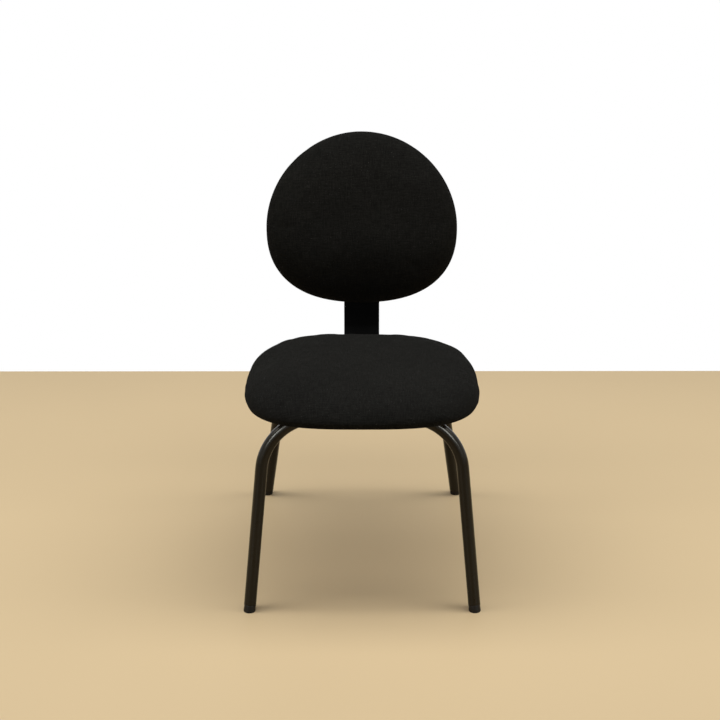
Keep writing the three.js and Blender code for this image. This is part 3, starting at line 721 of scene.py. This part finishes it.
def makeBar():
    legMiddle = bar["bendStart"] - bar["legLength"] / 2
    bpy.ops.mesh.primitive_plane_add(size=1, location=(0, legMiddle, bar["top"]))
    piece = newPiece("flatBar")
    piece.scale = (bar["width"], bar["legLength"], 1)
    applyPlace()
    editPart(piece, "EDGE", lambda part: middleOf(part).y > bar["bendStart"] - near)
    bpy.ops.mesh.spin(
        steps=bar["bendSteps"], angle=barLean - math.pi / 2, axis=(1, 0, 0),
        center=(0, bar["bendStart"], bar["top"] + bar["bendRadius"]),
    )
    upright = bar["neck"] + bar["heightInBack"]
    drawOut((0, upright * math.sin(barLean), upright * math.cos(barLean)))
    editPart(piece, "VERT", lambda part: len(part.link_edges) == 2)
    bpy.ops.mesh.bevel(offset=bar["corner"], segments=6, affect="VERTICES")
    tidyNormals(piece)
    turnSheet(piece, min(piece.data.polygons, key=lambda face: face.center.y), 1)
    thicken(piece, bar["thickness"])
    soften(piece, bar["edge"], 3, 60)
    legTurn = Matrix.Translation((0, 0, bar["top"]))
    backTurn = Matrix.Translation(backPlace) @ Matrix.Rotation(math.pi / 2 - barLean, 4, "X")
    for x in (-bar["holeX"], bar["holeX"]):
        for turn, rows in ((legTurn, bar["legHoles"]), (backTurn, bar["backHoles"])):
            for y in rows:
                drill(piece, bar["hole"], 3 * bar["thickness"], turn @ Matrix.Translation((x, y, 0)))
    finishPiece(piece, seatFrame, "bar_paint", barShadedMaterial, "back_bar")


makeBar()
print("bar made")


# Pads: a round sheet laid on the pad's outline, drawn over its edge, down its side and round the board

def outlineReach(pad, angle):
    half, power = (pad["near"], pad["nearPower"]) if math.sin(angle) < 0 else (pad["far"], pad["farPower"])
    across, along = abs(math.cos(angle)) / pad["halfWidth"], abs(math.sin(angle)) / half
    return (across ** power + along ** power) ** (-1 / power)


def padPoint(pad, angle, share, inset, height, lift=None):  # lift: 1 on the face, less on the rolled edge
    reach = outlineReach(pad, angle)
    radius = share * (reach - inset)
    x, y = radius * math.cos(angle), radius * math.sin(angle)
    rise = 0 if lift is None else pad["dome"](x, y, radius / reach, lift)
    return Vector((x, pad["centre"] + y, height + rise + pad["curve"](x)))


def padSheet(name, pad, sectors, inset, height, lift=None):     # the flat middle, as a grid inside a ring
    bpy.ops.mesh.primitive_circle_add(vertices=sectors, radius=1, fill_type="NOTHING")
    piece = newPiece(name)
    editAll(piece)
    bpy.ops.mesh.fill_grid(span=sectors // 4)
    objectMode()
    for vertex in piece.data.vertices:
        x, y = vertex.co.x, vertex.co.y
        vertex.co = padPoint(pad, math.atan2(y, x), math.hypot(x, y), inset, height, lift)
    return piece


hem = {
    "flatHalf": 0.095, "fade": 0.03,        # no pleats behind, where rails and bar lie against it
    "pleats": 34, "strays": 5, "stray": 1.3, "wander": 2.4, "waves": ((7, 0.0, 1.0), (19, 1.0, 0.6)),
    "turnOut": 0.3, "turnDown": 0.7, "tuckCurve": 1.5, "onBoard": 0.02, "stapledBelow": 0.002,
    # shares of the hem's width, of the pleats' drop and of the edge's wander
    "rings": ((0.0, (0.4, 0)), (0.35, (1, 0)), (0.7, (1, 0.5)), (1.0, (0.7, 1))),
}


def hemFold(pad, angle):                # the drop of a pleat, and how far the cut edge wanders
    x = math.cos(angle) * outlineReach(pad, angle)
    free = min(max((abs(x) - hem["flatHalf"]) / hem["fade"], 0.0), 1.0) if math.sin(angle) > 0 else 1.0
    ripple = 0.5 + 0.5 * math.sin(hem["pleats"] * angle + hem["stray"] * math.sin(hem["strays"] * angle))
    wander = sum(size * math.sin(count * angle + start) for count, start, size in hem["waves"])
    return pad["pleat"] * free * ripple ** 3, pad["pleat"] * hem["wander"] * wander


def drawRing(piece, pad, inset, height, lift=None, folded=(0, 0)):  # draws the open edge on to a new ring
    mesh = bmesh.new()
    mesh.from_mesh(piece.data)
    rim = [edge for edge in mesh.edges if edge.is_boundary]
    made = bmesh.ops.extrude_edge_only(mesh, edges=rim)["geom"]
    for vertex in [part for part in made if isinstance(part, bmesh.types.BMVert)]:
        angle = math.atan2(vertex.co.y - pad["centre"], vertex.co.x)
        drop, wander = hemFold(pad, angle)
        vertex.co = padPoint(pad, angle, 1.0, inset + wander * folded[1], height - drop * folded[0], lift)
    mesh.to_mesh(piece.data)
    mesh.free()


seatPad = {
    "halfWidth": 0.226, "near": 0.200, "far": 0.241, "nearPower": 3.0, "farPower": 2.8, "centre": 0.088,
    "board": 0.012, "rim": 0.042, "roll": 0.028, "rollDrop": 0.033, "drawIn": 0.006, "tuck": 0.003,
    "hem": 0.020, "pleat": 0.0007, "sectors": 240, "rollSteps": 11, "sideSteps": 5,
    "swell": 0.0015, "full": 0.0024, "ease": 0.01, "fill": 0.85,
    "crown": 0.013, "droop": 0.012, "droopFrom": 0.040, "droopRun": 0.160,
    "curve": lambda x: 0.0,
    "dome": lambda x, y, share, lift: seatPad["crown"] * (1 - share ** 2)
        - seatPad["droop"] * (max(0, -y - seatPad["droopFrom"]) / seatPad["droopRun"]) ** 2 * lift,
}

backPad = {
    "halfWidth": 0.198, "near": 0.163, "far": 0.197, "nearPower": 2.35, "farPower": 2.0, "centre": 0.168,
    "board": 0.009, "rim": 0.036, "roll": 0.060, "rollDrop": 0.031, "drawIn": 0.004, "tuck": 0.003,
    "hem": 0.016, "pleat": 0.0, "sectors": 240, "rollSteps": 11, "sideSteps": 5,
    "swell": 0.0015, "full": 0.0006, "ease": 0.0, "fill": 0.85,
    "crown": 0.024, "lumbar": 0.006, "lumbarDrop": 0.048, "lumbarSpread": 0.062, "curveRadius": 0.550,
    "curve": lambda x: x ** 2 / (2 * backPad["curveRadius"]),
    "dome": lambda x, y, share, lift: (1 - share ** 2) * (backPad["crown"] + backPad["lumbar"]
        * math.exp(-(((y + backPad["lumbarDrop"]) / backPad["lumbarSpread"]) ** 2))),
}

simulation = {
    "frames": 20, "quality": 5, "mass": 0.25, "stretch": 40, "shear": 20, "bend": 1.5, "pressure": 4.0,
    "limit": 1.6,                           # how far it may move, as a share of the swell
}


def swellPad(piece, pad, isHeld):       # a short cloth simulation under pressure, with limited moves
    limit = pad["swell"] * simulation["limit"]
    start = [vertex.co.copy() for vertex in piece.data.vertices]
    held = piece.vertex_groups.new(name="held")
    held.add([vertex.index for vertex in piece.data.vertices if isHeld(vertex.co)], 1.0, "REPLACE")
    selectOnly(piece)
    modifier = piece.modifiers.new("Cloth", "CLOTH")
    settings = modifier.settings
    settings.vertex_group_mass = "held"
    settings.quality = simulation["quality"]
    settings.mass = simulation["mass"]
    settings.tension_stiffness = settings.compression_stiffness = simulation["stretch"]
    settings.shear_stiffness = simulation["shear"]
    settings.bending_stiffness = simulation["bend"]
    settings.shrink_min = -pad["ease"]      # the cloth is cut a little full
    settings.use_pressure = True
    settings.uniform_pressure_force = simulation["pressure"]
    settings.effector_weights.gravity = 0
    modifier.collision_settings.use_collision = False
    modifier.point_cache.frame_start, modifier.point_cache.frame_end = 1, simulation["frames"]
    for step in range(1, simulation["frames"] + 1):
        bpy.context.scene.frame_set(step)
    bpy.ops.object.modifier_apply(modifier=modifier.name)
    biggest = 0.0
    for vertex, before in zip(piece.data.vertices, start):
        move = vertex.co - before
        biggest = max(biggest, move.length)
        vertex.co = before + move * (limit / (limit + move.length))
    bpy.context.scene.frame_set(1)
    print(piece.name, "swelled, largest free move in mm:", round(biggest * 1000, 1))


def makeCushion(name, pad, place, slotName, replaced):
    depth = pad["swell"]                # it starts a little lower and fuller, swells up and draws in again
    widest = pad["rim"] - pad["rollDrop"]
    piece = padSheet(name, pad, pad["sectors"], pad["roll"], pad["rim"] - depth, 1.0)
    for step in range(1, pad["rollSteps"] + 1):
        angle = step / pad["rollSteps"] * math.pi / 2
        inset = pad["roll"] * (1 - math.sin(angle)) - pad["full"] * math.sin(angle)
        drawRing(piece, pad, inset, widest + (pad["rollDrop"] - depth) * math.cos(angle), math.cos(angle))
    for step in range(1, pad["sideSteps"] + 1):
        height = widest - step / pad["sideSteps"] * (widest + seatingGap)
        tucked = ((widest - height) / widest) ** hem["tuckCurve"]
        inset = pad["tuck"] * tucked - pad["full"] * height / widest
        drawRing(piece, pad, inset, height)
    under = -seatingGap - clothSkin
    corner = pad["drawIn"] + clothSkin
    inner = pad["board"] + seatingGap
    drawRing(piece, pad, pad["tuck"] + clothSkin * hem["turnOut"], -seatingGap - clothSkin * hem["turnDown"])
    for width, folded in hem["rings"]:
        drawRing(piece, pad, corner + pad["hem"] * width, under, None, folded)
    drawRing(piece, pad, corner + pad["hem"], -seatingGap, None, (0, 1))
    for inset, height in ((corner, -seatingGap), (corner, inner), (corner + hem["onBoard"], inner)):
        drawRing(piece, pad, inset, height)
    editPart(piece, "EDGE", lambda part: part.is_boundary)
    bpy.ops.mesh.fill_grid(span=pad["sectors"] // 4)
    tidyNormals(piece)

    def isHeld(point):              # what lies on the board and what is stapled under it
        flat = Vector((point.x, point.y - pad["centre"]))
        reach = outlineReach(pad, math.atan2(flat.y, flat.x))
        rise = point.z - pad["curve"](point.x)
        onBoard = flat.length < reach - pad["drawIn"] - clothSkin * 0.5 and rise < inner + seatingGap
        return onBoard or rise < hem["stapledBelow"]

    swellPad(piece, pad, isHeld)
    smoothOnce(piece)
    layClothMap(piece, pad)
    finishPiece(piece, place, slotName, clothMaterial, *replaced)
    selectOnly(piece)
    bpy.ops.object.shade_smooth()


mapDrape = 0.75         # how much of the way down the side counts on the flat map


def layClothMap(piece, pad):            # a flat map in metres: the way over the pad from its middle
    mesh = piece.data
    layer = mesh.uv_layers.new(name="clothMap")
    places = []
    for vertex in mesh.vertices:
        x, y = vertex.co.x, vertex.co.y - pad["centre"]
        angle, flat = math.atan2(y, x), math.hypot(x, y)
        share = min(flat / outlineReach(pad, angle), 1.0)
        top = pad["rim"] + pad["dome"](x, y, share, 1.0) + pad["curve"](x)
        way = flat + max(0.0, top - vertex.co.z) * mapDrape
        places.append((way * math.cos(angle), way * math.sin(angle)))
    for loop in mesh.loops:
        layer.data[loop.index].uv = places[loop.vertex_index]


makeCushion("seatCushion", seatPad, boardFrame, "upholstery", ("seat_cover", "seat_foam"))
makeCushion("backCushion", backPad, backBoardFrame, "upholstery", ("back_cover", "back_foam"))
print("cushions made")


# The moulded cover behind the back: a dish with a rolled rim, screw wells and a notch for the bar

shell = {
    "rim": -0.0018, "depth": 0.017, "wall": 0.0025, "rimInset": 0.0025, "sectors": 192, "edge": 0.0005,
    "profile": (                        # inset and drop, as shares of the depth
        (0.0, 0.0), (0.02, 0.20), (0.06, 0.40), (0.14, 0.58), (0.28, 0.74), (0.5, 0.86), (0.8, 0.93),
        (1.3, 0.97), (2.2, 1.0),
    ),
    "bossX": 0.105, "bossYs": (0.095, 0.245),
    "well": 0.0044, "wellSink": 0.0032, "wellDepth": 0.02, "wellSides": 40,
    "notchHalf": 0.0485, "notchDepth": 0.0095, "notchOver": 0.004, "notchReach": 0.05, "notchCorner": 0.004,
}


def makeShell():
    rings = [
        (shell["rimInset"] + shell["depth"] * inset, shell["rim"] - shell["depth"] * drop)
        for inset, drop in reversed(shell["profile"])
    ]
    piece = padSheet("backShell", backPad, shell["sectors"], *rings[0])
    for inset, height in rings[1:]:
        drawRing(piece, backPad, inset, height)
    editAll(piece)
    bpy.ops.mesh.normals_make_consistent(inside=False)
    objectMode()
    centre = Vector((0, backPad["centre"], shell["rim"] - shell["depth"]))
    turnSheet(piece, min(piece.data.polygons, key=lambda face: (face.center - centre).length), -1)
    thicken(piece, shell["wall"])
    bpy.ops.mesh.primitive_cube_add(
        size=1, location=(0, 0, shell["notchOver"] - shell["notchDepth"] / 2),
        scale=(2 * shell["notchHalf"], shell["notchReach"], shell["notchDepth"] + 2 * shell["notchOver"]),
    )
    cutter = newPiece("notchCutter")
    applyPlace()
    editPart(cutter, "EDGE", lambda part: reachOf(part)[1] > shell["notchReach"] / 2)
    bpy.ops.mesh.bevel(offset=shell["notchCorner"], segments=5, affect="EDGES")
    cutWith(piece, cutter)
    wellMiddle = centre.z + shell["wellSink"] - shell["wellDepth"] / 2
    for x in (-shell["bossX"], shell["bossX"]):
        for y in shell["bossYs"]:
            place = Matrix.Translation((x, y, backPad["curve"](x) + wellMiddle))
            drill(piece, shell["well"], shell["wellDepth"], place, shell["wellSides"])
    soften(piece, shell["edge"], 2, 55)
    finishPiece(piece, backFrame, "shell_plastic", shellMaterial, "back_shell")


makeShell()
print("shell made")


# Screws: a pan head with a hexagon socket for the machine screws, a cross slot for the wood screws

screws = {
    "machine": {
        "radius": 0.003, "head": 0.0055, "height": 0.0033, "edge": 0.0014, "sides": 36,
        "socket": 0.0023, "socketDepth": 0.004, "grip": 0.0095,
    },
    "wood": {
        "radius": 0.002, "head": 0.0038, "height": 0.0024, "edge": 0.0015, "sides": 36,
        "slot": (0.0042, 0.0008, 0.0024), "grip": 0.007,
    },
}


def makeScrew(kind, length):
    size = screws[kind]
    head, height = size["head"], size["height"]
    bpy.ops.mesh.primitive_cylinder_add(
        vertices=size["sides"], radius=head, depth=height, location=(0, 0, -height / 2),
    )
    screw = newPiece(kind + "Screw")
    applyPlace()
    editPart(screw, "FACE", lambda part: part.normal.z < -0.5)
    bpy.ops.mesh.bevel(offset=size["edge"], segments=4, affect="EDGES")
    editPart(screw, "FACE", lambda part: part.normal.z > 0.9)
    bpy.ops.mesh.inset(thickness=head - size["radius"])
    drawOut((0, 0, length))
    objectMode()
    bottom = (0, 0, -height)
    if kind == "machine":
        drill(screw, size["socket"], size["socketDepth"], Matrix.Translation(bottom), 6)
        return screw
    for turn in (0, math.pi / 2):
        bpy.ops.mesh.primitive_cube_add(size=1, location=bottom, rotation=(0, 0, turn), scale=size["slot"])
        cutWith(screw, bpy.context.object)
    return screw


def placeScrews(kind, name, frameAt, places, under, length):
    for index, (x, y, rise) in enumerate(places, start=1):
        screw = makeScrew(kind, length)
        screw.name = screw.data.name = f"{name}Screw_{index}"
        place = frameAt @ Matrix.Translation((x, y, rise + under))
        finishPiece(screw, place, "black_screw", screwMaterial, f"{name}_screw_{index}")


railPlaces = [(sign * rail["x"], y, 0) for y in railScrewYs for _, sign in sides]
barPlaces = [(sign * bar["holeX"], y, 0) for y in bar["legHoles"] for _, sign in sides]
bossRise = backPad["curve"](shell["bossX"])
shellPlaces = [(sign * shell["bossX"], y, bossRise) for y in shell["bossYs"] for _, sign in sides]
for name, places, plate in (("rail", railPlaces, rail["wall"]), ("bar", barPlaces, bar["thickness"])):
    under = bar["top"] - plate - seatingGap
    placeScrews("machine", name, seatFrame, places, under, screws["machine"]["grip"] + plate)
shellUnder = shell["rim"] - shell["depth"] + shell["wellSink"] - seatingGap
placeScrews("wood", "shell", backFrame, shellPlaces, shellUnder, screws["wood"]["grip"] - shellUnder)


# Staples that hold the hem of the seat's cloth to the board

staple = {
    "count": 46, "crown": 0.010, "wire": 0.0011, "height": 0.0009, "edge": 0.00028, "sink": 0.0002,
    "inset": 0.0128, "askew": 0.22, "rearFrom": 0.2, "bareHalf": 0.045, "railClear": 0.006,
}


def makeStaples():
    random.seed(7)
    crown = staple["crown"]
    bpy.ops.mesh.primitive_cube_add(size=1, scale=(crown, staple["wire"], staple["height"]))
    first = newPiece("staple")
    applyPlace()
    end = crown / 2 - near
    editPart(first, "EDGE", lambda part: middleOf(part).z < -near or abs(middleOf(part).x) > end)
    bpy.ops.mesh.bevel(offset=staple["edge"], segments=2, affect="EDGES")
    objectMode()
    made = []
    for index in range(staple["count"]):
        angle = 2 * math.pi * (index + 0.5) / staple["count"]
        point = padPoint(seatPad, angle, 1.0, staple["inset"], -seatingGap - clothSkin)
        ahead = padPoint(seatPad, angle + 0.01, 1.0, staple["inset"], 0)
        direction = math.atan2(ahead.y - point.y, ahead.x - point.x)
        onBar = abs(point.x) < staple["bareHalf"]
        onRail = abs(abs(point.x) - rail["x"]) < rail["width"] / 2 + staple["railClear"]
        if point.y > staple["rearFrom"] and (onBar or onRail):
            continue
        turn = Matrix.Rotation(direction + random.uniform(-staple["askew"], staple["askew"]), 4, "Z")
        copy = copyPiece(first, f"staple_{index}")
        copy.matrix_world = Matrix.Translation(point + Vector((0, 0, -staple["sink"]))) @ turn
        made.append(copy)
    bpy.data.objects.remove(first)
    selectOnly(*made)
    bpy.ops.object.join()
    finishPiece(newPiece("seatStaples"), boardFrame, "zinc", stapleMaterial)


makeStaples()
print("screws and staples made")


# The CAD nodes that stay: their own shapes with finished materials
for name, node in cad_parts.items():
    if "tee_nut" in name:
        finish = zincMaterial
    elif "screw" in name:
        finish = screwMaterial
    elif "board" in name:
        finish = plywoodMaterial
    else:
        continue
    for materialSlot in node.material_slots:
        materialSlot.material = finish


# Floor, world and lamps

studio = {
    "floor": (0.62, 0.475, 0.28, 1), "paler": 1.04, "floorScale": 1.3, "floorEnd": 0.97, "floorReach": 5.0,
    "sky": 0.12, "aim": (0, 0, 0.4),
}
ceilingLamp = {"size": (9.5, 1.3), "watts": 198, "colour": (1, 1, 1), "diffuse": True}
streakLamp = {"size": (1.4, 1.5), "watts": 150, "colour": (0.84, 0.91, 1), "diffuse": False}
lamps = {                       # the two far ones only give the streaks on the paint
    "ceilingMiddle": {**ceilingLamp, "at": (0.0, -0.3, 3.0)},
    "farLeft": {**streakLamp, "at": (-3.2, -3.6, 2.2)},
    "farRight": {**streakLamp, "at": (3.2, -3.6, 2.2)},
}


def makeFloor():
    reach, end = studio["floorReach"], studio["floorEnd"]
    bpy.ops.mesh.primitive_plane_add(size=1, location=(0, end - reach / 2, 0))
    floor = newPiece("studioFloor")
    floor.scale = (2 * reach, reach, 1)
    applyPlace()
    sheen = {"Roughness": 0.55, "Specular IOR Level": 0.25}
    material, tree, shader, place = newMaterial("paleFloor", **sheen)
    soft = remap(tree, noise(tree, place, studio["floorScale"]), *noiseRange)
    pale = tuple(value * studio["paler"] for value in studio["floor"][:3]) + (1,)
    tree.links.new(blend(tree, soft, studio["floor"], pale), shader.inputs["Base Color"])
    fromBelow = addNode(tree, "ShaderNodeNewGeometry").outputs["Backfacing"]    # seen through from below
    clear = tree.nodes.new("ShaderNodeBsdfTransparent")
    faces = {0: fromBelow, 1: shader.outputs[0], 2: clear.outputs[0]}
    either = addNode(tree, "ShaderNodeMixShader", faces)
    tree.links.new(either.outputs[0], tree.nodes["Material Output"].inputs["Surface"])
    floor.data.materials.append(material)


def makeWorld():
    world = bpy.data.worlds.new("studioWorld")
    bpy.context.scene.world = world
    world.use_nodes = True
    tree = world.node_tree
    ray = addNode(tree, "ShaderNodeLightPath").outputs
    seen = calc(tree, "MAXIMUM", ray["Is Camera Ray"], ray["Is Glossy Ray"])
    seen = calc(tree, "MAXIMUM", seen, ray["Is Transmission Ray"])
    strength = remap(tree, seen, 0.0, 1.0, studio["sky"], 1.0)
    background = tree.nodes["Background"]
    background.inputs["Color"].default_value = (1, 1, 1, 1)
    tree.links.new(strength, background.inputs["Strength"])


def makeLamps():
    for name, lamp in lamps.items():
        bpy.ops.object.light_add(type="AREA", location=lamp["at"])
        light = bpy.context.object
        light.name = name
        light.data.shape = "RECTANGLE"
        light.data.size, light.data.size_y = lamp["size"]
        light.data.energy = lamp["watts"]
        light.data.color = lamp["colour"]
        light.visible_diffuse = lamp["diffuse"]
        aim = Vector(studio["aim"]) - light.location
        light.rotation_euler = aim.to_track_quat("-Z", "Y").to_euler()


makeFloor()
makeWorld()
makeLamps()
print("studio made")
